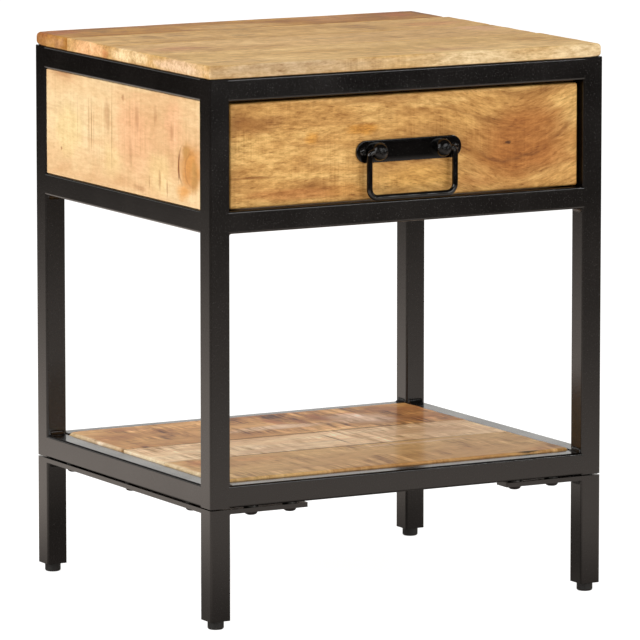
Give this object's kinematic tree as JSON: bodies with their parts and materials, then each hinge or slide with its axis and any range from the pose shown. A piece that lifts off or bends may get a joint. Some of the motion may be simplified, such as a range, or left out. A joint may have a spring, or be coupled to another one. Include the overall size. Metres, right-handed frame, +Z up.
{
  "type": "side table with drawer",
  "caption": "Square-tube steel side table on a bolted base, with a boarded wooden top and shelf, wooden panels and a sliding drawer with a swinging bail pull.",
  "frame": {"origin": "on the floor under the middle of the whole table's box, the handle included", "axes": "+Z up; the drawer and handle face -Y; +X to the right as seen from the front"},
  "size_m": [0.4, 0.347, 0.5],
  "materials": {
    "frame_steel": "near-black satin powder coat",
    "foot_plastic": "black moulded plastic",
    "top_wood": "clear satin lacquer on pale solid hardwood",
    "shelf_wood": "glossy lacquer over saw marks",
    "panel_wood": "clear satin lacquer on pale solid hardwood",
    "drawer_front_wood": "honey-coloured satin lacquer",
    "drawer_box_wood": "plain planed wood",
    "drawer_bottom_ply": "plain plywood",
    "handle_steel": "gloss black",
    "bolt_steel": "black",
    "zinc_steel": "zinc plated"
  },
  "bodies": {
    "frame": {"post_front_left": "frame_steel", "post_front_right": "frame_steel", "post_rear_left": "frame_steel", "post_rear_right": "frame_steel", "top_rail_front": "frame_steel", "top_rail_rear": "frame_steel", "top_rail_left": "frame_steel", "top_rail_right": "frame_steel", "middle_rail_front": "frame_steel", "middle_rail_rear": "frame_steel", "middle_rail_left": "frame_steel", "middle_rail_right": "frame_steel", "shelf_rail_front": "frame_steel", "shelf_rail_rear": "frame_steel", "shelf_rail_left": "frame_steel", "shelf_rail_right": "frame_steel", "base_bar_left": "frame_steel", "base_bar_right": "frame_steel", "base_plate_front_left": "frame_steel", "base_plate_front_right": "frame_steel", "base_plate_rear_left": "frame_steel", "base_plate_rear_right": "frame_steel", "leg_front_left": "frame_steel", "leg_front_right": "frame_steel", "leg_rear_left": "frame_steel", "leg_rear_right": "frame_steel", "foot_front_left": "foot_plastic", "foot_front_right": "foot_plastic", "foot_rear_left": "foot_plastic", "foot_rear_right": "foot_plastic", "top_board_1": "top_wood", "top_board_2": "top_wood", "top_board_3": "top_wood", "top_board_4": "top_wood", "shelf_board_1": "shelf_wood", "shelf_board_2": "shelf_wood", "shelf_board_3": "shelf_wood", "side_panel_left": "panel_wood", "side_panel_right": "panel_wood", "back_panel": "panel_wood", "top_tabs": "frame_steel", "shelf_tabs": "frame_steel", "panel_tabs": "frame_steel", "stop_tabs": "frame_steel", "runner_left": "frame_steel", "runner_right": "frame_steel", "base_bolts": "bolt_steel", "rivet_nuts": "zinc_steel", "wood_screws": "zinc_steel"},
    "drawer": {"drawer_front": "drawer_front_wood", "drawer_side_left": "drawer_box_wood", "drawer_side_right": "drawer_box_wood", "drawer_back": "drawer_box_wood", "drawer_bottom": "drawer_bottom_ply", "handle_plate": "handle_steel", "pivot_posts": "handle_steel", "handle_screws": "handle_steel"},
    "bail": {"handle_bail": "handle_steel"}
  },
  "joints": [
    {"name": "drawer_slide", "type": "slide", "parent": "frame", "child": "drawer", "axis": [0, -1, 0], "range_m": [0, 0.24]},
    {"name": "bail_pivot", "type": "hinge", "parent": "drawer", "child": "bail", "pos_m": [0.002, -0.1686, 0.4155], "axis": [-1, 0, 0], "range_deg": [-6, 180]}
  ]
}
